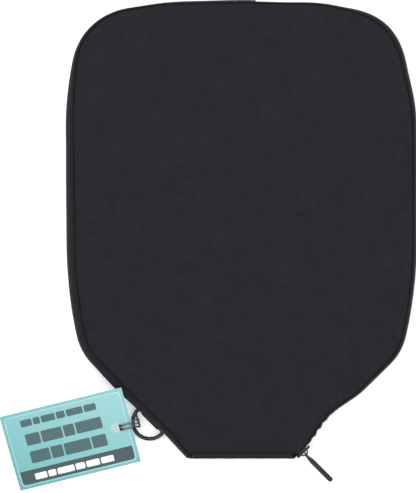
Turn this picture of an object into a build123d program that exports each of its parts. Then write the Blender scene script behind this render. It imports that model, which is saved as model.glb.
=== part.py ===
from build123d import *
import os
from math import cos, radians, sin, sqrt

# A zipped paddle cover lying flat on its back, in millimetres. +Y points from the neck to the crown,
# +Z up through the thickness. The origin is on the resting surface, under the middle of the cover.

# --- overall size -----------------------------------------------------------------------------
cover_length = 300.0
cover_thickness = 20.0
mid_height = cover_thickness / 2
neck_y = -cover_length / 2

# outline at the widest bulge of the side walls, right half, as turns from the crown clockwise
crown_radius, crown_turn = 600.0, 7.0
shoulder_radius, shoulder_turn = 44.0, 71.0
temple_radius, temple_turn = 230.0, 12.0
side_length = 71.0
hip_radius, hip_turn = 277.0, 13.0
corner_radius, corner_turn = 38.0, 32.5
tail_length = 110.0
tail_heading = -90.0 - hip_turn - corner_turn

# --- layers -----------------------------------------------------------------------------------
outer_cloth = 0.8
padding = 1.2
lining = 0.4
laminate = outer_cloth + padding + lining
hem_width, hem_relief = 2.8, 1.2
bulge = 5.0
wall_edge_height = 1.0
gusset_cloth = 1.6
gusset_lining_cloth = 0.5
seam_gap = 0.1
binding_width, binding_thickness = 3.2, 0.7

# --- zip --------------------------------------------------------------------------------------
zip_end_x = 8.0
zip_tab_length = 10.0
tape_inset, tape_cloth = 0.7, 0.8
coil_thickness = 2.2
coil_height = 2.6
coil_gap = 0.3
slider_place = 6.5
slider_length, slider_width = 11.0, 8.8
slider_plate = 1.2
slider_clearance = 0.3
inner_plate_depth = 2.7
diamond_length = 3.6
fold_place = 72.0
fold_gap = 0.3

# --- pull, ring and tag -----------------------------------------------------------------------
pull_wire_radius = 0.5
pull_axis_out = 2.25
pull_droop = 17.0
pull_grip_length = 23.0
pull_grip_width, pull_grip_thickness = 3.3, 2.4
ring_place = 33.3
ring_wire_radius = 1.3
ring_bow_radius = 10.95
ring_leg = 1.6
ring_corner = 1.4
ring_bar_out = 4.0
ring_bar_height = 1.85
ring_tilt = 6.5
webbing_width, webbing_cloth = 15.0, 0.45
tag_width, tag_height, tag_card = 82.0, 54.5, 0.5
tag_turn, tag_tilt = 13.7, 22.0
tag_corner = (-145.7, -172.7, 0.05)
tag_hole_at, tag_hole_radius = (71.8, 27.0), 3.5
cord_radius, bight_radius = 0.5, 0.62
cord_spread = 1.4
cord_rim_u = 74.3
hitch_angle = 40.0
hitch_radius = 2.8
barb_radius, barb_length = 0.6, 11.0

os.makedirs("parts", exist_ok=True)


def save(piece, name):
    piece.part.label = name
    export_step(piece.part, f"parts/{name}.step")


# --- outline ----------------------------------------------------------------------------------
def half_rim(inset):
    """Right half of the outline, moved inward by inset, from the crown down past the neck."""
    crown = JernArc((0, cover_length / 2 - inset), (1, 0), crown_radius - inset, -crown_turn)
    shoulder = JernArc(crown @ 1, crown % 1, shoulder_radius - inset, -shoulder_turn)
    temple = JernArc(shoulder @ 1, shoulder % 1, temple_radius - inset, -temple_turn)
    side = Line(temple @ 1, temple @ 1 + Vector(0, -side_length))
    hip = JernArc(side @ 1, (0, -1), hip_radius - inset, -hip_turn)
    corner = JernArc(hip @ 1, hip % 1, corner_radius - inset, -corner_turn)
    return PolarLine(corner @ 1, tail_length, tail_heading)


def rim_face(inset):
    """The whole outline as a face, running on below the neck, where the pieces are trimmed."""
    with BuildSketch() as face:
        with BuildLine():
            tail = half_rim(inset)
            Line(tail @ 1, (0, (tail @ 1).Y))
            mirror(about=Plane.YZ)
        make_face()
    return face.sketch


def neck_cut(y):
    """Plane across the neck that looks towards the crown."""
    return Plane(origin=(0, y, 0), x_dir=(1, 0, 0), z_dir=(0, 1, 0))


# the tails are straight, so the outline's neck corner and the tail's directions follow from one line
with BuildLine() as tail_probe:
    right_tail = half_rim(0)
tail_dir = Vector(-cos(radians(tail_heading)), -sin(radians(tail_heading)), 0)
tail_out = Vector(tail_dir.Y, -tail_dir.X, 0)
neck_corner = right_tail @ 1 + tail_dir * ((neck_y - (right_tail @ 1).Y) / tail_dir.Y)
left_tail_dir = Vector(-tail_dir.X, tail_dir.Y, 0)
left_tail_out = Vector(-tail_out.X, tail_out.Y, 0)
left_neck_corner = Vector(-neck_corner.X, neck_y, 0)

# the fold that lets the front's neck corner open, from the left neck corner to the tail's upper end
fold_end = neck_corner + tail_dir * fold_place
fold_dir = (fold_end - left_neck_corner).normalized()
fold_out = Vector(fold_dir.Y, -fold_dir.X, 0)


def fold_cut(shift):
    """Upright plane along the fold, moved by shift towards the flap."""
    return Plane(origin=left_neck_corner + fold_out * shift, x_dir=fold_dir, z_dir=fold_out)


def save_in_halves(piece, name, flap_name):
    """Writes a front layer as the part that stays and the part that turns back with the flap."""
    with BuildPart() as fixed:
        add(piece.part)
        split(bisect_by=fold_cut(-fold_gap / 2), keep=Keep.BOTTOM)
    save(fixed, name)
    with BuildPart() as flap:
        add(piece.part)
        split(bisect_by=fold_cut(fold_gap / 2), keep=Keep.TOP)
    save(flap, flap_name)


# --- panels -----------------------------------------------------------------------------------
def panel_layer(low, thickness, inset=bulge, neck=neck_y + hem_width + seam_gap):
    """One flat layer of the front or the back, trimmed at the neck."""
    with BuildPart() as layer:
        with BuildSketch(Plane.XY.offset(low)):
            add(rim_face(inset))
        extrude(amount=thickness)
        split(bisect_by=neck_cut(neck), keep=Keep.TOP)
    return layer


top = cover_thickness
save(panel_layer(0, outer_cloth), "back_panel")
save(panel_layer(outer_cloth, padding), "back_padding")
save(panel_layer(outer_cloth + padding, lining), "back_lining")
save_in_halves(panel_layer(top - outer_cloth, outer_cloth), "front_panel", "flap_panel")
save_in_halves(panel_layer(top - outer_cloth - padding, padding), "front_padding", "flap_padding")
save_in_halves(panel_layer(top - laminate, lining), "front_lining", "flap_lining")


def neck_hem(low):
    """Turned edge across the neck, as thick as the laminate that it closes."""
    with BuildPart() as hem:
        with BuildSketch(Plane.XY.offset(low)):
            add(rim_face(bulge + hem_relief))
        extrude(amount=laminate)
        split(bisect_by=neck_cut(neck_y), keep=Keep.TOP)
        split(bisect_by=neck_cut(neck_y + hem_width), keep=Keep.BOTTOM)
    return hem


save(neck_hem(0), "back_neck_hem")
save(neck_hem(top - laminate), "front_neck_hem")


def seam_binding(low):
    """Tape over the raw edges inside a seam, open at the neck."""
    with BuildPart() as binding:
        with BuildSketch(Plane.XY.offset(low)):
            add(rim_face(bulge + seam_gap))
            add(rim_face(bulge + seam_gap + binding_width), mode=Mode.SUBTRACT)
        extrude(amount=binding_thickness)
        split(bisect_by=neck_cut(neck_y + hem_width + seam_gap), keep=Keep.TOP)
    return binding


save(seam_binding(laminate), "back_seam_binding")
save_in_halves(seam_binding(top - laminate - binding_thickness), "front_seam_binding",
               "flap_seam_binding")


# --- side walls -------------------------------------------------------------------------------
wall_half_height = mid_height - wall_edge_height
wall_radius = (wall_half_height**2 + bulge**2) / (2 * bulge)
wall_centre = bulge - wall_radius


def wall_band(inset, thickness):
    """Side wall swept round the right seam, bulging out between the back's edge and the front's."""
    outer, inner = wall_radius - inset, wall_radius - inset - thickness
    outer_rise = sqrt(outer**2 - (seam_gap - wall_centre) ** 2)
    inner_rise = sqrt(inner**2 - (seam_gap - wall_centre) ** 2)
    seam_y = cover_length / 2 - bulge
    with BuildPart() as band:
        with BuildLine(Plane.XY.offset(mid_height)) as path:
            Line((-zip_end_x, seam_y), (0, seam_y))
            half_rim(bulge)
        across = Plane(origin=(-zip_end_x, seam_y, mid_height), x_dir=(0, 1, 0), z_dir=(1, 0, 0))
        with BuildSketch(across):
            with BuildLine():
                ThreePointArc((seam_gap, outer_rise), (wall_centre + outer, 0),
                              (seam_gap, -outer_rise))
                Line((seam_gap, -outer_rise), (seam_gap, -inner_rise))
                ThreePointArc((seam_gap, -inner_rise), (wall_centre + inner, 0),
                              (seam_gap, inner_rise))
                Line((seam_gap, inner_rise), (seam_gap, outer_rise))
            make_face()
        sweep(path=path.line)
        split(bisect_by=neck_cut(neck_y), keep=Keep.TOP)
    return band


def cross_cut(x):
    """Upright plane across the crown that looks to the right."""
    return Plane(origin=(x, 0, 0), x_dir=(0, 1, 0), z_dir=(1, 0, 0))


def level_cut(z):
    return Plane.XY.offset(z)


def left_wall(inset, thickness):
    """Wall on the left, from the neck round to where the zip's end tab begins."""
    band = wall_band(inset, thickness)
    with BuildPart() as wall:
        add(mirror(band.part, about=Plane.YZ))
        split(bisect_by=cross_cut(zip_end_x - zip_tab_length - seam_gap), keep=Keep.BOTTOM)
    return wall


save(left_wall(0, gusset_cloth), "side_gusset")
save(left_wall(gusset_cloth + seam_gap, gusset_lining_cloth), "gusset_lining")

full_wall = wall_band(0, gusset_cloth)
with BuildPart() as zip_end_tab:
    add(full_wall.part)
    add(mirror(full_wall.part, about=Plane.YZ))
    split(bisect_by=cross_cut(zip_end_x), keep=Keep.BOTTOM)
    split(bisect_by=cross_cut(zip_end_x - zip_tab_length), keep=Keep.TOP)
save(zip_end_tab, "zip_end_tab")


# --- zip tapes and coils ----------------------------------------------------------------------
tape_start = zip_end_x + seam_gap
coil_edge = coil_gap / 2 + coil_height + seam_gap


def zip_tape(keep, level):
    """The strip of tape between the coils and one seam."""
    with BuildPart() as tape:
        add(wall_band(tape_inset, tape_cloth).part)
        split(bisect_by=cross_cut(tape_start), keep=Keep.TOP)
        split(bisect_by=level_cut(level), keep=keep)
    return tape


save(zip_tape(Keep.BOTTOM, mid_height - coil_edge), "back_zip_tape")
save_in_halves(zip_tape(Keep.TOP, mid_height + coil_edge), "front_zip_tape", "flap_zip_tape")

bottom_stop_length = 2.2
coil_start = tape_start + bottom_stop_length + seam_gap
coil_end_cut = Plane(origin=neck_corner + tail_dir * (slider_place - slider_length / 2
                                                      + diamond_length + seam_gap),
                     x_dir=(0, 0, 1), z_dir=tail_dir)


def zip_coil(low):
    """One side of the meshed coils as a plain strip, from the slider's wedge to the crown."""
    with BuildPart() as coil:
        with BuildSketch(Plane.XY.offset(low)):
            add(rim_face(0))
            add(rim_face(coil_thickness), mode=Mode.SUBTRACT)
        extrude(amount=coil_height)
        split(bisect_by=cross_cut(coil_start), keep=Keep.TOP)
        split(bisect_by=coil_end_cut, keep=Keep.TOP)
    return coil


save(zip_coil(mid_height - coil_gap / 2 - coil_height), "back_zip_coil")
save_in_halves(zip_coil(mid_height + coil_gap / 2), "front_zip_coil", "flap_zip_coil")

with BuildPart() as zip_bottom_stop:
    with BuildSketch(cross_cut(tape_start)):
        with Locations((cover_length / 2 - coil_thickness / 2, mid_height)):
            RectangleRounded(coil_thickness, 2 * coil_height, 0.6)
    extrude(amount=bottom_stop_length)
save(zip_bottom_stop, "zip_bottom_stop")

# --- slider, in its own plane: x runs along the zip away from the neck, y up, z outward -------
slider_plane = Plane(origin=neck_corner + tail_dir * slider_place + Vector(0, 0, mid_height),
                     x_dir=tail_dir, z_dir=tail_out)
flange = 0.9
mouth = -slider_length / 2

with BuildPart() as slider_body:
    with BuildSketch(slider_plane.offset(slider_clearance)) as outer_plate:
        RectangleRounded(slider_length, slider_width, 2.4)
    extrude(amount=slider_plate)
    with BuildSketch(slider_plane.offset(slider_clearance)):
        for side in (-1, 1):
            with Locations((0, side * (slider_width - flange) / 2)):
                Rectangle(slider_length - 5, flange)
    extrude(amount=-flange)
    with BuildSketch(slider_plane.offset(-inner_plate_depth)):
        RectangleRounded(slider_length, slider_width, 2.4)
    extrude(amount=-slider_plate)
    with BuildSketch(slider_plane.offset(-inner_plate_depth)):
        with BuildLine():
            Polyline((mouth, 1.0), (mouth + diamond_length, 0.3), (mouth + diamond_length, -0.3),
                     (mouth, -1.0), close=True)
        make_face()
    extrude(amount=inner_plate_depth + slider_clearance)
save(slider_body, "slider_body")

bridge_half, bridge_rise, bridge_width = 3.0, 2.4, 2.2
bridge_bar = 0.9
plate_top = slider_clearance + slider_plate
with BuildPart() as slider_bridge:
    side_view = Plane(origin=slider_plane.origin, x_dir=tail_dir, z_dir=(0, 0, -1))
    with BuildSketch(side_view):
        with BuildLine():
            foot, crest = bridge_half, plate_top + bridge_rise
            ThreePointArc((-foot, plate_top), (0, crest), (foot, plate_top))
            Line((foot, plate_top), (foot - bridge_bar, plate_top))
            ThreePointArc((foot - bridge_bar, plate_top), (0, crest - bridge_bar),
                          (bridge_bar - foot, plate_top))
            Line((bridge_bar - foot, plate_top), (-foot, plate_top))
        make_face()
    extrude(amount=bridge_width / 2, both=True)
save(slider_bridge, "slider_bridge")

# the stops wait in front of the slider's mouth, one on each side of its wedge
for name, side in (("back_top_stop", -1), ("front_top_stop", 1)):
    with BuildPart() as top_stop:
        with BuildSketch(slider_plane.offset(-coil_thickness)):
            with Locations((mouth - 1.2, side * 1.9)):
                RectangleRounded(1.8, 1.7, 0.4)
        extrude(amount=coil_thickness - 0.2)
    save(top_stop, name)

# --- pull: a wire eye through the bridge and a moulded grip that droops towards the table ----
eye_half = bridge_width / 2 + pull_wire_radius + 0.25
eye_reach, eye_straight = 4.2, 2.9
grip_inset = 0.8
eye_plane = Plane(origin=slider_plane.origin + tail_out * pull_axis_out, x_dir=tail_out,
                  z_dir=tail_dir)
droop = radians(pull_droop)
grip_dir = tail_out * cos(droop) + Vector(0, 0, -sin(droop))
grip_plane = Plane(origin=eye_plane.origin + tail_out * eye_reach, x_dir=grip_dir.cross(tail_dir),
                   z_dir=grip_dir)

with BuildPart() as pull_eye:
    with BuildLine(eye_plane) as eye_path:
        FilletPolyline((eye_reach, -grip_inset / 2), (eye_straight, -eye_half), (0, -eye_half),
                       (0, eye_half), (eye_straight, eye_half), (eye_reach, grip_inset / 2),
                       radius=0.45)
    with BuildSketch(Plane(origin=eye_path.line @ 0, z_dir=eye_path.line % 0)):
        Circle(pull_wire_radius)
    sweep(path=eye_path.line)
save(pull_eye, "pull_eye")

with BuildPart() as pull_grip:
    for along, wide, thick in ((0.7, 1.6, 1.8), (4.5, pull_grip_width, pull_grip_thickness),
                               (pull_grip_length - 1.6, pull_grip_width, pull_grip_thickness),
                               (pull_grip_length, 1.8, 1.2)):
        with BuildSketch(grip_plane.offset(along)):
            RectangleRounded(thick, wide, min(wide, thick) * 0.42)
    loft(ruled=True)
save(pull_grip, "pull_grip")

# --- D-ring and its webbing loop ----------------------------------------------------------------
ring_seat = (left_neck_corner + left_tail_dir * ring_place + left_tail_out * (ring_bar_out - bulge)
             + Vector(0, 0, ring_bar_height))
ring_tilted = left_tail_out * cos(radians(ring_tilt)) + Vector(0, 0, sin(radians(ring_tilt)))
ring_plane = Plane(origin=ring_seat, x_dir=left_tail_dir, z_dir=left_tail_dir.cross(ring_tilted))

with BuildPart() as d_ring:
    with BuildLine(ring_plane) as ring_path:
        bar = Line((ring_corner - ring_bow_radius, 0), (ring_bow_radius - ring_corner, 0))
        right_corner = JernArc(bar @ 1, bar % 1, ring_corner, 90)
        right_leg = Line(right_corner @ 1, right_corner @ 1 + ring_tilted * (ring_leg - ring_corner))
        bow = JernArc(right_leg @ 1, right_leg % 1, ring_bow_radius, 180)
        left_leg = Line(bow @ 1, bow @ 1 - ring_tilted * (ring_leg - ring_corner))
        JernArc(left_leg @ 1, left_leg % 1, ring_corner, 90)
    with BuildSketch(Plane(origin=bar @ 0, z_dir=bar % 0)):
        Circle(ring_wire_radius)
    sweep(path=ring_path.line)
save(d_ring, "d_ring")

webbing_bore = ring_wire_radius + 0.05
webbing_outer = webbing_bore + webbing_cloth
with BuildPart() as ring_loop:
    loop_plane = Plane(origin=ring_seat, x_dir=left_tail_out,
                       z_dir=left_tail_out.cross(Vector(0, 0, 1)))
    with BuildSketch(loop_plane):
        Circle(webbing_outer)
        with Locations((-ring_bar_out / 2 + seam_gap / 2, 0.95 / 2 - webbing_outer)):
            Rectangle(ring_bar_out - seam_gap, 0.95)
        Circle(webbing_bore, mode=Mode.SUBTRACT)
    extrude(amount=webbing_width / 2, both=True)
save(ring_loop, "ring_loop")

# --- hang tag, tilted because its far corner leans on the cover's edge -------------------------
turn, tilt = radians(tag_turn), radians(tag_tilt)
tag_across = Vector(cos(turn), sin(turn), 0)
tag_up = Vector(-sin(turn) * cos(tilt), cos(turn) * cos(tilt), sin(tilt))
tag_plane = Plane(origin=tag_corner, x_dir=tag_across, z_dir=tag_across.cross(tag_up))

with BuildPart() as hang_tag:
    with BuildSketch(tag_plane):
        with Locations((tag_width / 2, tag_height / 2)):
            RectangleRounded(tag_width, tag_height, 0.8)
        with Locations(tag_hole_at):
            Circle(tag_hole_radius, mode=Mode.SUBTRACT)
    extrude(amount=tag_card)
save(hang_tag, "hang_tag")

# --- elastic loop: two strands from the barb behind the tag, through its hole and round the ring
ring_bow_centre = ring_seat + ring_tilted * ring_leg
hitch_centre = (ring_bow_centre + left_tail_dir * (ring_bow_radius * sin(radians(hitch_angle)))
                + ring_tilted * (ring_bow_radius * cos(radians(hitch_angle))))
cord_across = Vector(-tag_across.Y, tag_across.X, 0)
over_card = tag_card + cord_radius + 0.35
behind_card = -barb_radius - 0.3


def strand_points(side):
    """Corners of one strand's route, from the barb to the underside of the ring's wire."""
    at_tag = [tag_plane.from_local_coords((u, tag_hole_at[1] + side * cord_spread, w))
              for u, w in ((cord_rim_u, behind_card), (cord_rim_u, over_card),
                           (tag_width + 0.6, over_card))]
    middle = hitch_centre + cord_across * (side * cord_spread)
    at_ring = [middle + tag_across * (a * hitch_radius) + Vector(0, 0, b * hitch_radius)
               for a, b in ((0.55, 1.1), (1, 0.0), (0.8, -0.81), (-0.8, -0.81), (-1, 0.3))]
    return at_tag + at_ring


with BuildPart() as tag_loop:
    for side in (-1, 1):
        points = strand_points(side)
        with BuildLine() as strand:
            FilletPolyline(*points, radius=0.6)
        with BuildSketch(Plane(origin=strand.line @ 0, z_dir=strand.line % 0)):
            Circle(cord_radius)
        sweep(path=strand.line)
    bight = Plane(origin=hitch_centre - tag_across * hitch_radius + Vector(0, 0, 0.3 * hitch_radius),
                  z_dir=cord_across)
    with BuildSketch(bight):
        Circle(bight_radius)
    extrude(amount=cord_spread + bight_radius, both=True)
save(tag_loop, "tag_loop")

with BuildPart() as loop_barb:
    barb_origin = tag_plane.from_local_coords((cord_rim_u, tag_hole_at[1], behind_card))
    with BuildSketch(Plane(origin=barb_origin, z_dir=tag_up)):
        Circle(barb_radius)
    extrude(amount=barb_length / 2, both=True)
    add(tag_loop.part, mode=Mode.SUBTRACT)
save(loop_barb, "loop_barb")
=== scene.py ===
import math

import bpy
import numpy as np
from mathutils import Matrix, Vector, noise


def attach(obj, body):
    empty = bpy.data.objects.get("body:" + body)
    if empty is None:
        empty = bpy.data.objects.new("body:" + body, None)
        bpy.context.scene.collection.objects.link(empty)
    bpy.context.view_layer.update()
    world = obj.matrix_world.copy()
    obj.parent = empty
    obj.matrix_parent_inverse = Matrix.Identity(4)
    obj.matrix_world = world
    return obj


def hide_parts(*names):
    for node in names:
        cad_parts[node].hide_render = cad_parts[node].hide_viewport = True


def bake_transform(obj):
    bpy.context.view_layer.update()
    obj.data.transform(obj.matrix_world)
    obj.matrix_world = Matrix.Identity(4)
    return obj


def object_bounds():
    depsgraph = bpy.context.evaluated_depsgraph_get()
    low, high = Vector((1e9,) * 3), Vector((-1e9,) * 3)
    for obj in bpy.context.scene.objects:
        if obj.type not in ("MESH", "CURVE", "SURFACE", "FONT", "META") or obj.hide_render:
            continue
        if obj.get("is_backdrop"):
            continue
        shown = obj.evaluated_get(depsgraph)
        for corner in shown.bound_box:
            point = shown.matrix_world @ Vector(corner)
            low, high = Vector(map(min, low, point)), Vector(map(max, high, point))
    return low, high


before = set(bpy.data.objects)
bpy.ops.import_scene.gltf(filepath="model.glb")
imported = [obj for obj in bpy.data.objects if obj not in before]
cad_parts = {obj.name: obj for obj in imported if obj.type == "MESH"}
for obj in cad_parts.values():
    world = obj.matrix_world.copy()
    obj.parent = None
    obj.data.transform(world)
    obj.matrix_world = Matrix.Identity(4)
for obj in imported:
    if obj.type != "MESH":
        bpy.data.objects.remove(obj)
start_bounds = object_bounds()
MM = 0.001

# ---- outline of the cover, in millimetres ------------------------------------------------------
# each stretch clockwise from the crown: radius, turn in degrees, steps; radius 0 is a straight that long
COVER = ((600, 7, 14), (44, 71, 30), (230, 12, 22), (0, 71, 30), (277, 13, 30), (38, 32.5, 16))
CROWN, NECK = 150.0, -150.0
TAIL_STEPS = 44
TAIL_TURN = math.radians(45.5)
TAIL = (math.sin(TAIL_TURN), math.cos(TAIL_TURN))
TAIL_OUT = (TAIL[1], -TAIL[0])
SEAM_IN = 5
ZIP_END_X = 8


def half(inset, neck=NECK):
    """Right half of the outline from the crown to the neck, one point per fixed station."""
    pos = np.array([0.0, CROWN - inset])
    heading = 0.0
    points = [pos]
    for radius, turn, n in COVER:
        if radius == 0:
            for i in range(n):
                points.append(pos + np.array([0, -turn * (i + 1) / n]))
            pos = points[-1]
            continue
        r = radius - inset
        centre = pos - r * np.array([math.sin(heading), math.cos(heading)])
        for i in range(n):
            a = heading + math.radians(turn) * (i + 1) / n
            points.append(centre + r * np.array([math.sin(a), math.cos(a)]))
        heading += math.radians(turn)
        pos = points[-1]
    length = (pos[1] - neck) / TAIL[1]
    for i in range(TAIL_STEPS):
        points.append(pos - np.array(TAIL) * length * (i + 1) / TAIL_STEPS)
    return np.array(points)


def rim(inset, neck=NECK):
    """The open outline, from the left neck corner over the crown to the right one."""
    right = half(inset, neck)
    left = right[::-1] * np.array([-1, 1])
    return np.vstack([left[:-1], right])


OUTER = rim(0)
INNER = rim(SEAM_IN)
CORNER = OUTER[-1]
RUN = np.concatenate([[0], np.cumsum(np.linalg.norm(np.diff(OUTER, axis=0), axis=1))])
SHARE = RUN / RUN[-1]
ZIP_START = int(np.argmax((OUTER[:, 0] > ZIP_END_X) & (SHARE > 0.5)))


def smooth(t):
    """An eased step from 0 to 1."""
    t = np.clip(t, 0, 1)
    return t * t * (3 - 2 * t)


# where the tails sag in (-) or bulge (+): side, amount, and the stretch up the tail from low to high
SAGS = ((1, -3.6, 7, 64), (-1, 0.6, 40, 88))
# where the stuffed outline stands out (+) or falls in (-): centre x and y, reach and amount
SWELLS = ((103, 108, 15, -2.9), (76, 130, 9, -1.5), (50, 141, 12, 1.5), (-50, 141, 14, 1.1),
          (-114, 0, 52, -1.1), (-105, -60, 20, -0.5), (-52, -137, 9, -1.0))


def warp(points):
    """Where the real cloth waves: the zip side sags in above the slider, the ring side bulges."""
    p = np.array(points, float)
    for side, depth, low, high in SAGS:
        rel = p[..., :2] * np.array([side, 1]) - CORNER
        along = rel @ np.array(TAIL)
        out = rel @ np.array(TAIL_OUT)
        bump = np.sin(np.pi * np.clip((along - low) / (high - low), 0, 1)) ** 2
        push = depth * bump * smooth((out + 34) / 30)
        if side == 1:
            ripple = np.sin(np.pi * np.clip((along - 11) / 26, 0, 1)) * np.sin(along * 2 * np.pi / 6.1)
            push += 0.5 * ripple * smooth((out + 9) / 7)
        p[..., 0] += side * TAIL_OUT[0] * push
        p[..., 1] += TAIL_OUT[1] * push
    for x, y, spread, swell in SWELLS:
        away = p[..., :2] / (np.linalg.norm(p[..., :2], axis=-1)[..., None] + 1e-6)
        near = np.exp(-((p[..., 0] - x) ** 2 + (p[..., 1] - y) ** 2) / (2 * spread ** 2))
        p[..., :2] += away * (swell * near)[..., None]
    return p


def edge(front):
    """The seam between a panel and the walls; the front one sits a little towards the zip."""
    if not front:
        return INNER
    where = (0, 0.03, 0.08, 0.16, 0.31, 0.36, 0.41, 0.5, 0.57, 0.62, 0.75, 0.86, 0.95, 1)
    share = (0.62, 0.95, 1.15, 1.2, 1.15, 0.5, 0.4, 0.36, 0.42, 0.85, 0.62, 0.7, 0.5, 0.3)
    k = np.interp(SHARE, where, share)
    kernel = np.hanning(15) / np.hanning(15).sum()
    k = np.convolve(np.pad(k, 7, mode="edge"), kernel, mode="valid")
    return OUTER + (INNER - OUTER) * k[:, None]


def closed_ring(points, neck):
    """Adds the straight neck edge to an outline, so that it closes."""
    n = 26
    a, b = points[-1], points[0]
    line = [a + (b - a) * (i + 1) / (n + 1) for i in range(n)]
    return np.vstack([points, [[q[0], neck] for q in line]])


# ---- mesh helpers ------------------------------------------------------------------------------
def mesh_object(name, verts, faces, mat):
    """A smooth-shaded object from points in millimetres."""
    mesh = bpy.data.meshes.new(name)
    mesh.from_pydata([tuple(float(c) * MM for c in v) for v in verts], [], faces)
    mesh.validate()
    mesh.materials.append(mat)
    mesh.polygons.foreach_set("use_smooth", [True] * len(mesh.polygons))
    obj = bpy.data.objects.new(name, mesh)
    bpy.context.scene.collection.objects.link(obj)
    return obj


def lofted(name, sections, mat):
    """A capped skin through equal-length sections; each section is a closed loop of 3-D points."""
    s = np.array(sections)
    n, m = s.shape[:2]
    faces = []
    for i in range(n - 1):
        for j in range(m):
            k = (j + 1) % m
            faces.append((i * m + j, i * m + k, (i + 1) * m + k, (i + 1) * m + j))
    faces.append(tuple(range(m))[::-1])
    faces.append(tuple((n - 1) * m + j for j in range(m)))
    return mesh_object(name, s.reshape(-1, 3), faces, mat)


def tube(name, path, radius, mat, sides, ring=False):
    """A round cord along a list of 3-D points; radius is one number or one per point."""
    p = np.array(path, float)
    n = len(p)
    r = np.full(n, radius) if np.isscalar(radius) else np.array(radius)
    tangent = np.roll(p, -1, 0) - np.roll(p, 1, 0) if ring else np.gradient(p, axis=0)
    tangent /= np.linalg.norm(tangent, axis=1)[:, None] + 1e-12
    up = np.array([0.03, 0.05, 1.0])
    side = np.cross(tangent, up)
    weak = np.linalg.norm(side, axis=1) < 0.2
    side[weak] = np.cross(tangent[weak], np.array([1.0, 0.1, 0.05]))
    for i in range(1, n):
        if side[i] @ side[i - 1] < 0:
            side[i] *= -1
    side /= np.linalg.norm(side, axis=1)[:, None]
    other = np.cross(side, tangent)
    angle = np.arange(sides) * 2 * np.pi / sides
    verts = (p[:, None] + r[:, None, None] * (np.cos(angle)[None, :, None] * side[:, None]
             + np.sin(angle)[None, :, None] * other[:, None])).reshape(-1, 3)
    faces = []
    for i in range(n if ring else n - 1):
        for j in range(sides):
            k, q = (j + 1) % sides, (i + 1) % n
            faces.append((i * sides + j, i * sides + k, q * sides + k, q * sides + j))
    if not ring:
        faces += [tuple(range(sides))[::-1], tuple((n - 1) * sides + j for j in range(sides))]
    return mesh_object(name, verts, faces, mat)


def smooth_path(points, n=12):
    """A round-cornered path through control points (Catmull-Rom)."""
    p = [np.array(q, float) for q in points]
    p = [2 * p[0] - p[1]] + p + [2 * p[-1] - p[-2]]
    out = []
    for i in range(1, len(p) - 2):
        for t in np.linspace(0, 1, n, endpoint=False):
            a, b, c, d = p[i - 1], p[i], p[i + 1], p[i + 2]
            out.append(0.5 * (2 * b + (c - a) * t + (2 * a - 5 * b + 4 * c - d) * t * t
                              + (3 * b - a - 3 * c + d) * t ** 3))
    out.append(p[-2])
    return np.array(out)


def many(name, parts, mat):
    """One mesh out of many small ones, each (verts, faces)."""
    verts, faces = [], []
    for v, f in parts:
        base = len(verts)
        verts += [tuple(q) for q in v]
        faces += [tuple(base + i for i in q) for q in f]
    return mesh_object(name, verts, faces, mat)


def capsule(a, b, radius, lift, sides=6):
    """A short float of thread or piece of a coil turn from a to b, arched upwards by lift."""
    a, b = np.array(a, float), np.array(b, float)
    t = (b - a) / np.linalg.norm(b - a)
    side = np.cross(t, [0, 0, 1])
    side /= np.linalg.norm(side) + 1e-9
    up = np.cross(side, t)
    verts, faces = [], []
    for s, k in ((0, 0.35), (0.18, 1), (0.5, 1.1), (0.82, 1), (1, 0.35)):
        c = a + (b - a) * s + up * lift * math.sin(math.pi * s)
        for j in range(sides):
            q = 2 * math.pi * j / sides
            verts.append(c + radius * k * (math.cos(q) * side + math.sin(q) * up))
    for i in range(4):
        for j in range(sides):
            k = (j + 1) % sides
            faces.append((i * sides + j, i * sides + k, (i + 1) * sides + k, (i + 1) * sides + j))
    faces += [tuple(range(sides))[::-1], tuple(4 * sides + j for j in range(sides))]
    return verts, faces


def wander(x, y, scale, seed):
    """Slow unevenness between about -1 and 1, the same on every run."""
    return noise.noise(Vector((x / scale, y / scale, seed)))


# ---- materials ---------------------------------------------------------------------------------
def material(name, colour, roughness, metallic=0.0, sheen=0.0, coat=0.0):
    """A new material, its node tree and its shader."""
    m = bpy.data.materials.new(name)
    m.use_nodes = True
    shader = m.node_tree.nodes["Principled BSDF"]
    shader.inputs["Base Color"].default_value = (*colour, 1)
    shader.inputs["Roughness"].default_value = roughness
    shader.inputs["Metallic"].default_value = metallic
    shader.inputs["Sheen Weight"].default_value = sheen
    shader.inputs["Coat Weight"].default_value = coat
    return m, m.node_tree, shader


def add(tree, kind, **settings):
    node = tree.nodes.new(kind)
    for key, value in settings.items():
        setattr(node, key, value)
    return node


def mottled(tree, shader, coords, colour, spread, scale, detail=3.0):
    """Base colour that varies softly over the piece."""
    n = add(tree, "ShaderNodeTexNoise")
    n.inputs["Scale"].default_value = scale
    n.inputs["Detail"].default_value = detail
    ramp = add(tree, "ShaderNodeValToRGB")
    low = [c * (1 - spread) for c in colour]
    high = [min(1, c * (1 + spread)) for c in colour]
    ramp.color_ramp.elements[0].position = 0.3
    ramp.color_ramp.elements[0].color = (*low, 1)
    ramp.color_ramp.elements[1].position = 0.7
    ramp.color_ramp.elements[1].color = (*high, 1)
    tree.links.new(coords, n.inputs["Vector"])
    tree.links.new(n.outputs["Fac"], ramp.inputs["Fac"])
    tree.links.new(ramp.outputs["Color"], shader.inputs["Base Color"])
    return ramp


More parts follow.
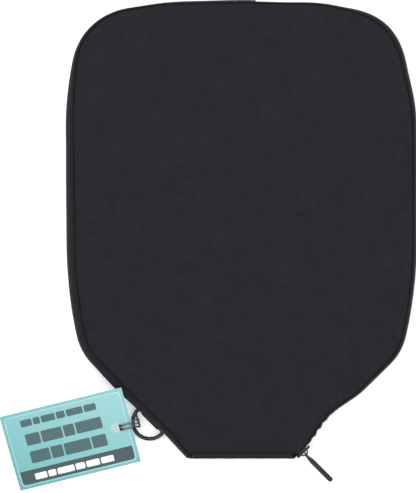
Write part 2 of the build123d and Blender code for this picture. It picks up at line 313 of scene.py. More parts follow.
def knit(name, colour, pitch, depth, sheen=0.25, roughness=0.85, spread=0.16, angle=0.0):
    """Cloth: crossed ribs at a given pitch in metres, with fuzz, all as bump and colour."""
    m, tree, shader = material(name, colour, roughness, sheen=sheen)
    shader.inputs["Sheen Roughness"].default_value = 0.45
    shader.inputs["Specular IOR Level"].default_value = 0.12
    coord = add(tree, "ShaderNodeTexCoord")
    turn = add(tree, "ShaderNodeMapping")
    turn.inputs["Rotation"].default_value = (0, 0, angle)
    tree.links.new(coord.outputs["Object"], turn.inputs["Vector"])
    ramp = mottled(tree, shader, turn.outputs["Vector"], colour, spread, 1 / (pitch * 9), 5.0)
    waves = []
    for direction in ("X", "Y"):
        wave = add(tree, "ShaderNodeTexWave")
        wave.bands_direction = direction
        wave.inputs["Scale"].default_value = 1 / pitch / 3.2
        wave.inputs["Distortion"].default_value = 1.6
        wave.inputs["Detail"].default_value = 1.5
        wave.inputs["Detail Scale"].default_value = 2.0
        tree.links.new(turn.outputs["Vector"], wave.inputs["Vector"])
        waves.append(wave)
    mix = add(tree, "ShaderNodeMath", operation="MULTIPLY")
    tree.links.new(waves[0].outputs["Fac"], mix.inputs[0])
    tree.links.new(waves[1].outputs["Fac"], mix.inputs[1])
    fuzz = add(tree, "ShaderNodeTexNoise")
    fuzz.inputs["Scale"].default_value = 0.7 / pitch
    fuzz.inputs["Detail"].default_value = 6.0
    tree.links.new(turn.outputs["Vector"], fuzz.inputs["Vector"])
    total = add(tree, "ShaderNodeMath", operation="MULTIPLY_ADD")
    tree.links.new(fuzz.outputs["Fac"], total.inputs[0])
    total.inputs[1].default_value = 0.9
    tree.links.new(mix.outputs[0], total.inputs[2])
    bump = add(tree, "ShaderNodeBump")
    bump.inputs["Distance"].default_value = depth
    bump.inputs["Strength"].default_value = 0.8
    tree.links.new(total.outputs[0], bump.inputs["Height"])
    tree.links.new(bump.outputs["Normal"], shader.inputs["Normal"])
    # painted shade and light: the hollows of the knit are darkened and its raised ribs lightened
    shade = add(tree, "ShaderNodeMix", data_type="RGBA", blend_type="MULTIPLY")
    dark = add(tree, "ShaderNodeMapRange")
    dark.inputs["From Min"].default_value = 0.2
    dark.inputs["From Max"].default_value = 1.1
    dark.inputs["To Min"].default_value = 0.5
    dark.inputs["To Max"].default_value = 1.4
    tree.links.new(total.outputs[0], dark.inputs["Value"])
    tree.links.new(ramp.outputs["Color"], shade.inputs[6])
    tree.links.new(dark.outputs["Result"], shade.inputs[7])
    shade.inputs[0].default_value = 1.0
    tree.links.new(shade.outputs[2], shader.inputs["Base Color"])
    return m


def worn_metal(name, colour, roughness, metallic, coat=0.0, scale=900.0):
    """Metal or hard plastic with a fine grain in its colour, gloss and relief."""
    m, tree, shader = material(name, colour, roughness, metallic, coat=coat)
    coord = add(tree, "ShaderNodeTexCoord")
    mottled(tree, shader, coord.outputs["Object"], colour, 0.18, scale)
    n = add(tree, "ShaderNodeTexNoise")
    n.inputs["Scale"].default_value = scale * 2
    n.inputs["Detail"].default_value = 4.0
    tree.links.new(coord.outputs["Object"], n.inputs["Vector"])
    r = add(tree, "ShaderNodeMapRange")
    r.inputs["To Min"].default_value = roughness * 0.75
    r.inputs["To Max"].default_value = min(1, roughness * 1.3)
    tree.links.new(n.outputs["Fac"], r.inputs["Value"])
    tree.links.new(r.outputs["Result"], shader.inputs["Roughness"])
    bump = add(tree, "ShaderNodeBump")
    bump.inputs["Distance"].default_value = 0.00003
    bump.inputs["Strength"].default_value = 0.5
    tree.links.new(n.outputs["Fac"], bump.inputs["Height"])
    tree.links.new(bump.outputs["Normal"], shader.inputs["Normal"])
    return m


def painted_top_highlight(metal, low, high, lift):
    """Painted highlight: lightens a metal where the piece's own surface faces up, from low to high, up to
    lift times.
    """
    tree = metal.node_tree
    shader = tree.nodes["Principled BSDF"]
    coord = add(tree, "ShaderNodeTexCoord")
    split = add(tree, "ShaderNodeSeparateXYZ")
    tree.links.new(coord.outputs["Normal"], split.inputs[0])
    highlight_gain = add(tree, "ShaderNodeMapRange")
    highlight_gain.inputs["From Min"].default_value = low
    highlight_gain.inputs["From Max"].default_value = high
    highlight_gain.inputs["To Min"].default_value = 1.0
    highlight_gain.inputs["To Max"].default_value = lift
    tree.links.new(split.outputs["Z"], highlight_gain.inputs["Value"])
    tint = add(tree, "ShaderNodeMix", data_type="RGBA", blend_type="MULTIPLY")
    tint.inputs[0].default_value = 1.0
    tree.links.new(shader.inputs["Base Color"].links[0].from_socket, tint.inputs[6])
    tree.links.new(highlight_gain.outputs["Result"], tint.inputs[7])
    tree.links.new(tint.outputs[2], shader.inputs["Base Color"])


def graded_card(name, upper, lower):
    """Printed card whose teal deepens from the upper right to the lower left."""
    m, tree, shader = material(name, upper, 0.45)
    coord = add(tree, "ShaderNodeTexCoord")
    turn = add(tree, "ShaderNodeMapping")
    turn.inputs["Location"].default_value = (0.09, 0.13, 0)
    tree.links.new(coord.outputs["Object"], turn.inputs["Vector"])
    split = add(tree, "ShaderNodeSeparateXYZ")
    tree.links.new(turn.outputs["Vector"], split.inputs[0])
    total = add(tree, "ShaderNodeMath", operation="MULTIPLY_ADD")
    tree.links.new(split.outputs["X"], total.inputs[0])
    total.inputs[1].default_value = 0.35
    tree.links.new(split.outputs["Y"], total.inputs[2])
    spread = add(tree, "ShaderNodeMapRange")
    spread.inputs["From Min"].default_value = -0.055
    spread.inputs["From Max"].default_value = 0.03
    tree.links.new(total.outputs[0], spread.inputs["Value"])
    ramp = add(tree, "ShaderNodeValToRGB")
    ramp.color_ramp.elements[0].color = (*lower, 1)
    ramp.color_ramp.elements[1].color = (*upper, 1)
    tree.links.new(spread.outputs["Result"], ramp.inputs["Fac"])
    fleck = add(tree, "ShaderNodeTexNoise")
    fleck.inputs["Scale"].default_value = 1400
    fleck.inputs["Detail"].default_value = 4.0
    tree.links.new(coord.outputs["Object"], fleck.inputs["Vector"])
    bump = add(tree, "ShaderNodeBump")
    bump.inputs["Distance"].default_value = 0.00002
    bump.inputs["Strength"].default_value = 0.4
    tree.links.new(fleck.outputs["Fac"], bump.inputs["Height"])
    tree.links.new(bump.outputs["Normal"], shader.inputs["Normal"])
    tree.links.new(ramp.outputs["Color"], shader.inputs["Base Color"])
    return m


PANEL = knit("panel_knit", (0.0152, 0.0135, 0.0175), 0.0009, 0.0002, sheen=0.035, spread=0.12)
# the walls' knit is the panel's knit made a little darker: painted shade on the rounded sides
SHADED_GUSSET = knit("gusset_knit_shaded", (0.0142, 0.0126, 0.0163), 0.0009, 0.0002, sheen=0.03, spread=0.12, angle=0.5)
HEM = knit("hem_knit", (0.0055, 0.005, 0.0062), 0.0008, 0.00018, sheen=0.03, spread=0.1)
LINING = knit("lining_weave", (0.03, 0.03, 0.034), 0.0007, 0.0001, sheen=0.1, roughness=0.6)
TAPE = knit("zip_tape_weave", (0.009, 0.0088, 0.0105), 0.0007, 0.00012, sheen=0.05)
WEBBING = knit("webbing_rib", (0.012, 0.0115, 0.0135), 0.0008, 0.0002, sheen=0.05)
THREAD = knit("seam_thread", (0.02, 0.0185, 0.022), 0.0004, 0.0001, sheen=0.1)
COIL = worn_metal("zip_coil_plastic", (0.02, 0.02, 0.022), 0.42, 0.0)
ZIP_METAL = worn_metal("zip_enamel", (0.026, 0.026, 0.028), 0.3, 0.7, coat=0.2)
RING_METAL = worn_metal("ring_black_nickel", (0.015, 0.0142, 0.0152), 0.24, 0.85)
# painted highlight along the upward-facing top of the ring's wire
painted_top_highlight(RING_METAL, 0.88, 1.0, 4.6)
BARB_METAL = worn_metal("barb_steel", (0.12, 0.12, 0.125), 0.35, 0.9)
GRIP = worn_metal("pull_rubber", (0.014, 0.014, 0.0145), 0.5, 0.0, scale=1500.0)
GRIP.node_tree.nodes["Principled BSDF"].inputs["Specular IOR Level"].default_value = 0.28
CORD = knit("elastic_braid", (0.165, 0.153, 0.157), 0.0003, 0.00008, sheen=0.1, roughness=0.7)
# black that stands in for shadow: the tubes where the elastic dips into the hole and the bight inside the
# ring
HOLE_SHADOW_BLACK = worn_metal("painted_shadow_black", (0.01, 0.01, 0.011), 0.5, 0.0)
CARD = graded_card("tag_teal", (0.285, 0.545, 0.555), (0.145, 0.405, 0.42))
CARD_EDGE = graded_card("tag_border", (0.235, 0.50, 0.52), (0.115, 0.36, 0.385))
CARD_LINE = graded_card("tag_line", (0.52, 0.74, 0.75), (0.40, 0.64, 0.65))
INK = graded_card("tag_ink", (0.062, 0.128, 0.135), (0.05, 0.105, 0.112))
BAND = graded_card("tag_band", (0.046, 0.085, 0.09), (0.04, 0.074, 0.078))
BAND_INK = graded_card("tag_band_ink", (0.82, 0.86, 0.86), (0.78, 0.84, 0.84))

# ---- body: panels ------------------------------------------------------------------------------
LEFT_CORNER = CORNER * [-1, 1]
ZIP_OPENS = 72.0
FOLD = CORNER + ZIP_OPENS * np.array(TAIL) - LEFT_CORNER
FOLD /= np.linalg.norm(FOLD)
MIDDLE = np.array([0.0, -6.0])


def across_fold(obj):
    """Bakes the piece's placement into its mesh; it is not tied to the neck flap."""
    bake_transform(obj)


def carry(obj, front):
    """Pieces of the front get their placement baked in, the others stay with the cover."""
    if front:
        across_fold(obj)
    else:
        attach(obj, "cover")


def panel_rings(front, start=0.0):
    """Rings from the seam to the middle, as (points, distance from the seam)."""
    seam = edge(front)
    rings = []
    for d in (0, 0.5, 1.0, 1.6, 2.4, 3.4, 4.6, 6.0, 8.0, 10.5, 13.5, 17.0, 21.0, 25.0):
        d += start
        neck = NECK + 3.0 + d
        moved = seam + (rim(SEAM_IN + d, neck) - rim(SEAM_IN, NECK))
        moved[:, 1] = np.maximum(moved[:, 1], neck)
        rings.append((closed_ring(moved, neck), d))
    last = rings[-1][0]
    for s in (0.92, 0.84, 0.76, 0.68, 0.6, 0.52, 0.44, 0.36, 0.28, 0.2, 0.12, 0.05):
        rings.append((MIDDLE + (last - MIDDLE) * s, 30 + 90 * (1 - s)))
    return rings


def cloth_height(x, y, d):
    """How far the cloth's face stands above its flat level: a rounded edge and slow unevenness."""
    rise = -1.25 * math.exp(-d / 1.3) - 0.35 * math.exp(-d / 7.0)
    slow = 0.32 * wander(x, y, 42, 3.1) + 0.12 * wander(x, y, 13, 5.7)
    return rise + slow * min(1, d / 9.0) + 0.25


def panel(name, face, inner, front, mat, swap, start=0.0):
    """A closed solid: on the front the outer face follows the cloth, all other faces are level."""
    rings = panel_rings(front, start)
    m = len(rings[0][0])
    verts, faces = [], []
    for side in (0, 1):
        for points, d in rings:
            for x, y in warp(points):
                z = inner if side else face
                if front and not side:
                    z += cloth_height(x, y, d)
                verts.append((x, y, z))
        verts.append((MIDDLE[0], MIDDLE[1], verts[-1][2]))
    n = len(rings)
    per = n * m + 1
    for side in (0, 1):
        base = side * per
        for i in range(n - 1):
            for j in range(m):
                k = (j + 1) % m
                f = (base + i * m + j, base + i * m + k, base + (i + 1) * m + k, base + (i + 1) * m + j)
                faces.append(f if (side == 0) != front else f[::-1])
        for j in range(m):
            k = (j + 1) % m
            f = (base + (n - 1) * m + j, base + (n - 1) * m + k, base + per - 1)
            faces.append(f if (side == 0) != front else f[::-1])
    for j in range(m):
        k = (j + 1) % m
        f = (j, per + j, per + k, k)
        faces.append(f if front else f[::-1])
    obj = mesh_object(name, verts, faces, mat)
    carry(obj, front)
    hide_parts(*swap)
    return obj


front_quilt = panel("front_quilt", 19.95, 18.05, True, PANEL,
                    ("front_panel", "front_padding", "flap_panel", "flap_padding"))
front_inner = panel("front_lining_cloth", 17.95, 17.6, True, LINING, ("front_lining", "flap_lining"), 1.2)
back_quilt = panel("back_quilt", 0.0, 1.95, False, PANEL, ("back_panel", "back_padding"))
back_inner = panel("back_lining_cloth", 2.05, 2.4, False, LINING, ("back_lining",), 1.2)

# ---- body: side walls, zip tapes and coil ------------------------------------------------------
FRONT_EDGE, BACK_EDGE = edge(True), edge(False)
# how far round the outline the gusset ends and the zip begins
LEFT_END = RUN[ZIP_START]
# height of the zip line, and how far the walls reach above and below it
MID, HALF_WALL = 10, 8.9
# distances along the outline between wall sections and between coil turns
WALL_STEP, COIL_PITCH = 1.2, 1.35
# how far round the wall's bulge each zip tape reaches from its panel, in radians
TAPE_SPAN = 1.235


def stations(runs):
    """Front seam, widest bulge and back seam at distances along the outline."""
    return [np.stack([np.interp(runs, RUN, a[:, i]) for i in (0, 1)], 1)
            for a in (FRONT_EDGE, OUTER, BACK_EDGE)]


def wall_sections(runs, angles, skin, depth=0.0, proud=None, crease=None):
    """Closed sections of a bulging wall: its outer face over the given angles, then its inner face."""
    front, outer, back = stations(runs)
    sections = []
    for i, run in enumerate(runs):
        loop = []
        extra = 0 if proud is None else proud[i]
        extra += 0.35 * wander(run, 0, 37, 2.2)
        for inner in (0, 1):
            for a in (angles if inner == 0 else angles[::-1]):
                seam = front[i] if a < math.pi / 2 else back[i]
                out = outer[i] - seam
                length = np.linalg.norm(out)
                shift = depth + (skin if inner else 0)
                h = (length + extra - shift) * math.sin(a) ** 0.9
                z = MID + (HALF_WALL - 0.9 * shift) * math.cos(a)
                if crease is not None and a < 1.2:
                    z -= crease[i] * math.exp(-((a - 0.35) / 0.3) ** 2)
                p = seam + out / length * h
                loop.append((p[0], p[1], z))
        sections.append(loop)
    return warp(np.array(sections))


def corner_crease(runs):
    """The gusset gathers where it is eased round the crown corner on the ring side."""
    x = np.interp(runs, RUN, OUTER[:, 0])
    y = np.interp(runs, RUN, OUTER[:, 1])
    near = np.exp(-(((x + 97) / 13) ** 2 + ((y - 130) / 16) ** 2))
    return near * (1.3 + 0.9 * np.sin(runs * 2 * math.pi / 3.4))


left_runs = np.arange(0, LEFT_END + 0.1, WALL_STEP)
proud = 0.75 * smooth((left_runs - LEFT_END + 90) / 70)
all_round = np.linspace(0, math.pi, 23)
gusset_skin = wall_sections(left_runs, all_round, 1.5, 0, proud, corner_crease(left_runs))
gusset = lofted("gusset_wall", gusset_skin, SHADED_GUSSET)
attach(gusset, "cover")
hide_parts("side_gusset")
gusset_inner = lofted("gusset_lining_cloth", wall_sections(left_runs, all_round, 0.45, 1.7), LINING)
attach(gusset_inner, "cover")
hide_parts("gusset_lining")

right_runs = np.arange(LEFT_END, RUN[-1] + 0.1, WALL_STEP)
right_runs[-1] = RUN[-1]
front_span = np.linspace(0, TAPE_SPAN, 12)
front_tape = lofted("front_zip_side", wall_sections(right_runs, front_span, 0.8, 0.2), TAPE)
across_fold(front_tape)
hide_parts("front_zip_tape", "flap_zip_tape")
back_span = np.linspace(math.pi - TAPE_SPAN, math.pi, 12)
back_tape = lofted("back_zip_side", wall_sections(right_runs, back_span, 0.8, 0.2), TAPE)
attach(back_tape, "cover")
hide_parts("back_zip_tape")

tab_runs = np.arange(LEFT_END - 4, LEFT_END + 6.1, 0.8)
tab = lofted("zip_end_fold", wall_sections(tab_runs, all_round, 1.0, 0.35), WEBBING)
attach(tab, "cover")
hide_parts("zip_end_tab")


def path_at(runs, inset, z):
    """Points along the outline, moved in by inset, at height z."""
    front, outer, back = stations(runs)
    out = outer - back
    p = outer - out / np.linalg.norm(out, axis=1)[:, None] * inset
    return warp(np.column_stack([p, np.full(len(runs), z)]))


def coil(name, sign, swap, front):
    """One row of coil turns, from past the zip's end tab to just short of the neck."""
    runs = np.arange(LEFT_END + 8, RUN[-1] - 12.5, COIL_PITCH)
    inner = path_at(runs, 2.1, MID + sign * 1.7)
    outer = path_at(runs, 0.45, MID + sign * 0.7)
    top = path_at(runs, 0.45, MID + sign * 2.2)
    parts = []
    for i in range(len(runs)):
        parts.append(capsule(inner[i], outer[i], 0.46, 0.12))
        parts.append(capsule(outer[i], top[i] + (outer[i] - inner[i]) * -0.1, 0.44, 0.1))
    obj = many(name, parts, COIL)
    carry(obj, front)
    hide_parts(*swap)


coil("front_coil", 1, ("front_zip_coil", "flap_zip_coil"), True)
coil("back_coil", -1, ("back_zip_coil",), False)


def piping(name, front, swap, runs, z):
    """The bound seam; on the front it is pulled in and fuller where the corner gathers."""
    front_seam, outer, back_seam = stations(runs)
    seam = front_seam if front else back_seam
    away = (outer - seam) / np.linalg.norm(outer - seam, axis=1)[:, None]
    p = seam + away * 0.1
    radius = 0.5
    height = z + 0.1 * np.sin(runs / 9.0)
    if front:
        gather = np.exp(-((runs / RUN[-1] - 0.375) / 0.035) ** 2)
        radius = radius + 0.5 * gather
        height -= 0.35 * gather
    obj = tube(name, warp(np.column_stack([p, height])), radius, HEM, sides=10)
    carry(obj, front)
    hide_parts(*swap)


full_runs = np.arange(0.4, RUN[-1] - 0.3, 1.6)
piping("front_seam_piping", True, ("front_seam_binding", "flap_seam_binding"), full_runs, 18.75)
piping("back_seam_piping", False, ("back_seam_binding",), full_runs, 1.15)

# ---- neck hems and stitching -------------------------------------------------------------------
STITCH_PITCH = 2.3


def hem(name, x0, x1, z0, z1, swap, front):
    """A turned edge of the neck opening, soft and a little uneven."""
    sections = []
    cy, cz, ry, rz = NECK + 1.75, (z0 + z1) / 2, 1.75, (z1 - z0) / 2
    for x in np.linspace(x0, x1, 90):
        loop = []
        wave = 0.12 * wander(x, 0, 6, 4.4)
        for j in range(20):
            a = 2 * math.pi * j / 20
            c, s = math.cos(a), math.sin(a)
            loop.append((x, cy + ry * math.copysign(abs(c) ** 0.6, c) + wave,
                         cz + (rz + 0.08 * wander(x, a, 4, 8.1)) * math.copysign(abs(s) ** 0.6, s)))
        sections.append(loop)
    obj = lofted(name, sections, PANEL)
    carry(obj, front)
    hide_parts(swap)


hem("front_hem", -31.7, 34.0, 17.75, 20.05, "front_neck_hem", True)
hem("back_hem", -29.0, 29.0, 0.05, 2.45, "back_neck_hem", False)


def stitch_row(name, points, front):
    """Thread floats along a path, a gap between each."""
    p = np.array(points)
    run = np.concatenate([[0], np.cumsum(np.linalg.norm(np.diff(p, axis=0), axis=1))])
    parts = []
    for s in np.arange(0, run[-1] - STITCH_PITCH, STITCH_PITCH):
        ends = (s, s + STITCH_PITCH * 0.74)
        a, b = [np.array([np.interp(q, run, p[:, k]) for k in range(3)]) for q in ends]
        parts.append(capsule(a, b, 0.2, 0.12))
    carry(many(name, parts, THREAD), front)


xs = np.linspace(-30.5, 32.8, 80)
stitch_row("front_hem_stitches", [(x, NECK + 2.6, 20.02) for x in xs], True)
stitch_row("back_hem_stitches", [(x * 0.88, NECK + 2.6, 0.12) for x in xs], False)

# ---- ring and its webbing ----------------------------------------------------------------------
# the middle of the ring's bar: up the tail from the neck corner, in from the outline, and its height
RING_PLACE, RING_SUNK, RING_Z = 33.3, 1.0, 1.85
RING_LIFT = math.radians(6.5)
RING_WIRE, RING_BOW = 1.3, 11.2
RING_LEG, RING_CORNER, RING_BAR = 9.55, 1.4, 9.0
WALL_OUT = np.array([-TAIL_OUT[0], TAIL_OUT[1], 0])
RING_DIR = np.array([-TAIL[0], TAIL[1], 0])
RING_OUT = WALL_OUT * math.cos(RING_LIFT) + np.array([0, 0, math.sin(RING_LIFT)])
SEAT = np.append(LEFT_CORNER, RING_Z) + RING_DIR * RING_PLACE - WALL_OUT * RING_SUNK
BOW = SEAT + RING_OUT * 1.6


def ring_corner(side, angles):
    """The small bend from the bow to the bar on one side of the ring."""
    return [SEAT + side * RING_DIR * (RING_LEG + RING_CORNER * math.cos(q))
            + RING_OUT * (RING_CORNER - RING_CORNER * math.sin(q)) for q in np.radians(angles)]


def ring_path():
    """Once round the D: the bow, a corner, the straight bar and the other corner."""
    pts = [BOW + RING_BOW * (RING_DIR * math.sin(q) + RING_OUT * math.cos(q))
           for q in np.radians(np.linspace(-90, 90, 61))]
    pts += ring_corner(1, np.linspace(0, 90, 9)[1:])
    pts += [SEAT + RING_DIR * d for d in np.linspace(RING_BAR, -RING_BAR, 20)]
    return pts + ring_corner(-1, np.linspace(90, 0, 9)[:-1])


ring = tube("d_ring_wire", ring_path(), RING_WIRE, RING_METAL, sides=24, ring=True)
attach(ring, "ring")
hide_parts("d_ring")


def webbing():
    """A strap folded round the ring's bar, its two ends sewn into the wall; ribs run along it."""
    sections = []
    for i, d in enumerate(np.linspace(-7.5, 7.5, 61)):
        rib = 0.09 * math.cos(2 * math.pi * i / 4)
        loop = []
        for r, span in ((1.38, 1), (2.0 + rib, -1)):
            arc = [(-4.1, r)] + [(r * math.sin(math.radians(a)), r * math.cos(math.radians(a)))
                                 for a in range(0, 181, 15)] + [(-4.1, -r)]
            for h, v in arc[::span]:
                z = max(0.06, RING_Z + v * (0.92 if v < 0 else 1))
                loop.append(SEAT * [1, 1, 0] + RING_DIR * d + WALL_OUT * h + np.array([0, 0, z]))
        sections.append(loop)
    return sections


strap = lofted("ring_webbing", webbing(), WEBBING)
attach(strap, "cover")
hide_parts("ring_loop")

# ---- hang tag, its print and its elastic -------------------------------------------------------
TURN, TILT = math.radians(13.7), math.radians(22.0)
TAG_AT = np.array([-145.7, -172.7, 0.05])
TAG_X = np.array([math.cos(TURN), math.sin(TURN), 0])
TAG_Y = np.array([-math.sin(TURN) * math.cos(TILT), math.cos(TURN) * math.cos(TILT), math.sin(TILT)])
TAG_Z = np.cross(TAG_X, TAG_Y)
TAG_W, TAG_H = 82.0, 55.6
HOLE, HOLE_R = (72.0, 27.7), 3.5


def on_tag(u, v, w):
    """A point by its place across, up and above the card."""
    return TAG_AT + TAG_X * u + TAG_Y * v + TAG_Z * w


def round_box(u0, v0, u1, v1, r, corners="bbbb"):
    """Corner order: lower left, lower right, upper right, upper left; 's' leaves one sharp."""
    pts = []
    for (cu, cv, start), kind in zip(((u0 + r, v0 + r, 180), (u1 - r, v0 + r, 270), (u1 - r, v1 - r, 0),
                                      (u0 + r, v1 - r, 90)), corners):
        if kind == "s":
            pts.append((u0 if cu < (u0 + u1) / 2 else u1, v0 if cv < (v0 + v1) / 2 else v1))
            continue
        for a in range(0, 91, 10):
            q = math.radians(start + a)
            pts.append((cu + r * math.cos(q), cv + r * math.sin(q)))
    return pts


def circle(c, r, n=40):
    return [(c[0] + r * math.cos(q), c[1] + r * math.sin(q)) for q in 2 * math.pi * np.arange(n) / n]


def framed(inset, r, top=TAG_H, corners="bbbb"):
    """A rounded box a given way in from the card's edges, up to its top or lower."""
    return round_box(inset, inset, TAG_W - inset, min(top, TAG_H - inset), r, corners)


def printed(name, loops, w, mat, thick=0.012):
    """A thin printed shape on the card's face; inner loops are holes."""
    curve = bpy.data.curves.new(name, "CURVE")
    curve.dimensions = "2D"
    curve.fill_mode = "BOTH"
    curve.extrude = thick / 2 * MM
    for loop in loops:
        spline = curve.splines.new("POLY")
        spline.points.add(len(loop) - 1)
        for point, (u, v) in zip(spline.points, loop):
            point.co = (u * MM, v * MM, 0, 1)
        spline.use_cyclic_u = True
    temp = bpy.data.objects.new(name + "_curve", curve)
    bpy.context.scene.collection.objects.link(temp)
    bpy.context.view_layer.update()
    mesh = bpy.data.meshes.new_from_object(temp.evaluated_get(bpy.context.evaluated_depsgraph_get()))
    bpy.data.objects.remove(temp)
    for v in mesh.vertices:
        p = on_tag(v.co.x / MM, v.co.y / MM, w + v.co.z / MM)
        v.co = [float(c) * MM for c in p]
    mesh.materials.clear()
    mesh.materials.append(mat)
    obj = bpy.data.objects.new(name, mesh)
    bpy.context.scene.collection.objects.link(obj)
    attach(obj, "tag")
    return obj


LINE_IN, LINE_WIDE = 2.1, 0.38
card = printed("tag_card", [framed(0, 0.6), circle(HOLE, HOLE_R)], 0.25, CARD_EDGE, 0.5)
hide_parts("hang_tag")
printed("tag_field", [framed(LINE_IN, 2.6), circle(HOLE, 3.7)], 0.51, CARD)
printed("tag_frame_line", [framed(LINE_IN, 2.6), framed(LINE_IN + LINE_WIDE, 2.3)], 0.53, CARD_LINE)
printed("tag_band", [framed(LINE_IN + 0.9, 2.4, 13.1, "bbss")], 0.525, BAND)


def blocks(name, rows, w, mat):
    """Rows of plain blocks where lettering would be: first u, low v, high v and widths of each row."""
    shapes = []
    for u, low, high, widths in rows:
        for width in widths:
            shapes.append(round_box(u, low, u + width, high, 0.8))
            u += width + 1.0
    printed(name, shapes, w, mat)


blocks("tag_text_blocks", ((12.0, 44.6, 49.6, (7.5, 4.4, 9.2, 5.6, 11.0, 8.0)),
                           (12.6, 30.6, 39.0, (9.5, 14.0, 7.2, 17.4)),
                           (12.6, 17.4, 26.2, (13.0, 8.0, 17.6, 9.8))), 0.535, INK)
blocks("tag_band_blocks", ((12.0, 5.2, 9.8, (8.0, 5.2, 11.4, 6.2, 9.0, 8.6)),), 0.545, BAND_INK)
printed("tag_hole_rim", [circle(HOLE, 3.75), circle(HOLE, 3.52)], 0.545, CARD_LINE)


def cord(name, points, radius, mat):
    """A piece of the elastic, which rides with the loop."""
    obj = tube(name, points, radius, mat, sides=12)
    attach(obj, "loop")
    return obj


def strand(side, k):
    """One side of the elastic, up out of the hole, over the card's edge and round the ring's wire."""
    v = HOLE[1] + 1.35 * k
    obj = cord("elastic_strand_" + side, smooth_path([
        on_tag(74.4, v, -0.9), on_tag(74.6, v, 0.2), on_tag(75.7, v, 1.15), on_tag(79, v + 0.25 * k, 1.15),
        on_tag(82.4, v + 0.1 * k, 1.2), (-71.6 - 0.3 * k, -127.4 + 1.3 * k, 6.2),
        (-70.0 - 0.3 * k, -127.0 + 1.25 * k, 5.3), (-68.1 - 0.2 * k, -126.6 + 1.1 * k, 4.5),
        (-67.1 - 0.1 * k, -126.4 + 0.9 * k, 3.1), (-67.4 - 0.1 * k, -126.6 + 0.9 * k, 1.4),
        (-68.6 - 0.1 * k, -126.9 + 1.0 * k, 0.6)]), 0.56, CORD)
    # a black tube where the strand dips into the hole: painted shadow
    hole_shadow = tube("elastic_hole_shadow_" + side, [
        on_tag(74.5, v, -0.3), on_tag(74.7, v, 0.5), on_tag(75.5, v, 1.0), on_tag(76.3, v, 1.1)],
        0.8, HOLE_SHADOW_BLACK, sides=14)
    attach(hole_shadow, "loop")
    return obj


upper_strand = strand("upper", 1)
strand("lower", -1)
# the bight is the elastic, painted black as shadow
cord("elastic_bight", smooth_path([
    (-71.0, -122.6, 0.8), (-69.7, -122.0, 1.5), (-69.0, -122.2, 3.0), (-68.7, -123.2, 4.4),
    (-68.1, -125.0, 5.2), (-67.4, -127.2, 5.2), (-66.8, -129.0, 4.5), (-66.7, -129.9, 3.1),
    (-67.4, -130.4, 1.6), (-69.0, -130.3, 0.8)]), 0.55, HOLE_SHADOW_BLACK)
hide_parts("tag_loop")
barb_path = [on_tag(74.4, HOLE[1] + d, -0.95) for d in np.linspace(-5.5, 5.5, 9)]
barb = tube("barb", barb_path, 0.6, BARB_METAL, sides=14)
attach(barb, "loop")
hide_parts("loop_barb")

# ---- zip hardware ------------------------------------------------------------------------------
for node in ("slider_body", "slider_bridge", "pull_eye",
             "zip_bottom_stop", "back_top_stop", "front_top_stop"):
    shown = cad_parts[node]
    shown.data.materials.clear()
    shown.data.materials.append(ZIP_METAL)


def grip():
    """Moulded pull: a neck that swells to a flat tongue with shallow finger grooves and a round end."""
    co = np.array([v.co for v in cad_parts["pull_grip"].data.vertices]) / MM
    away = co[:, :2] @ np.array(TAIL_OUT)
    near, far = co[away < away.min() + 0.6].mean(0), co[away > away.max() - 0.6].mean(0)
    axis = (far - near) / np.linalg.norm(far - near)
    across = np.array([TAIL[0], TAIL[1], 0.0])
    up = np.cross(across, axis)
    up *= 1 if up[2] > 0 else -1
    near = near - axis * 3.4 + np.array([-0.9, 0.3, 0])
    far = far + axis * 0.7 + np.array([-0.9, -0.3, 0])
    length = np.linalg.norm(far - near)
    sections = []
    for t in np.concatenate([np.linspace(0, 0.9, 64), 1 - 0.1 * np.cos(np.linspace(0.1, 1.5, 12))]):
        wide = 0.75 + 0.93 * smooth(t / 0.3)
        thick = 0.85 + 0.4 * smooth(t / 0.2)
        if 0.5 < t < 0.84:
            thick -= 0.16 * (0.5 + 0.5 * math.cos((t - 0.5) / 0.34 * 10 * math.pi + math.pi))
        close = math.sqrt(max(0.0004, 1 - max(0, (t - 0.93) / 0.07) ** 2))
        close *= math.sqrt(min(1, 0.15 + t / 0.03))
        loop = []
        for j in range(28):
            a = 2 * math.pi * j / 28
            c, d = math.cos(a), math.sin(a)
            loop.append(near + axis * length * t + across * wide * close * math.copysign(abs(c) ** 0.7, c)
                        + up * thick * close * math.copysign(abs(d) ** 0.7, d))
        sections.append(loop)
    return lofted("pull_tongue", sections, GRIP)


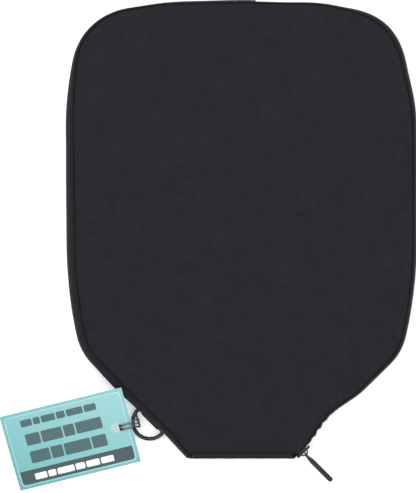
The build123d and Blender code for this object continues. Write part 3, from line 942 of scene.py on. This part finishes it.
tongue = grip()
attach(tongue, "pull")
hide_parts("pull_grip")

# ---- room --------------------------------------------------------------------------------------
floor_mat, _, shader = material("floor_paper", (0.95, 0.95, 0.95), 0.95)
bpy.ops.mesh.primitive_plane_add(size=6, location=(0, 0, -0.0002))
floor = bpy.context.object
floor.name = "floor"
floor.data.materials.append(floor_mat)
shader.inputs["Emission Color"].default_value = (1, 1, 1, 1)
shader.inputs["Emission Strength"].default_value = 0.3
floor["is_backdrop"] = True

world = bpy.context.scene.world or bpy.data.worlds.new("World")
bpy.context.scene.world = world
world.use_nodes = True
world.node_tree.nodes["Background"].inputs["Color"].default_value = (1, 1, 1, 1)
world.node_tree.nodes["Background"].inputs["Strength"].default_value = 0.95


def area_light(name, at, size, power):
    """A square softbox that faces the middle of the cover."""
    data = bpy.data.lights.new(name, "AREA")
    data.size = size
    data.energy = power
    light = bpy.data.objects.new(name, data)
    light.location = at
    light.rotation_euler = (-Vector(at)).to_track_quat("-Z", "Y").to_euler()
    bpy.context.scene.collection.objects.link(light)


area_light("key_softbox", (-0.5, 0.7, 1.3), 1.0, 10)
area_light("fill_softbox", (0.8, -0.4, 1.1), 1.2, 5)

bpy.context.scene.view_settings.view_transform = "Standard"

# millimetres of sensor, and metres from the lens to the cover and from the top to the bottom of the frame
SENSOR, COVER_AWAY, FRAME_HEIGHT = 36, 1.6, 0.3243
camera_data = bpy.data.cameras.new("camera")
camera_data.sensor_fit = "VERTICAL"
camera_data.sensor_height = SENSOR
camera_data.lens = SENSOR * COVER_AWAY / FRAME_HEIGHT
camera = bpy.data.objects.new("camera", camera_data)
camera.location = (-0.0216, -0.0112, 1.61)
bpy.context.scene.collection.objects.link(camera)
bpy.context.scene.camera = camera


def plain(value):
    """Vectors and tuples as lists that json can write."""
    if isinstance(value, dict):
        return {k: plain(v) for k, v in value.items()}
    if hasattr(value, "__len__") and not isinstance(value, str):
        return [plain(v) for v in value]
    return value if isinstance(value, (str, type(None))) else float(value)


{"start": plain(start_bounds), "end": plain(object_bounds())}
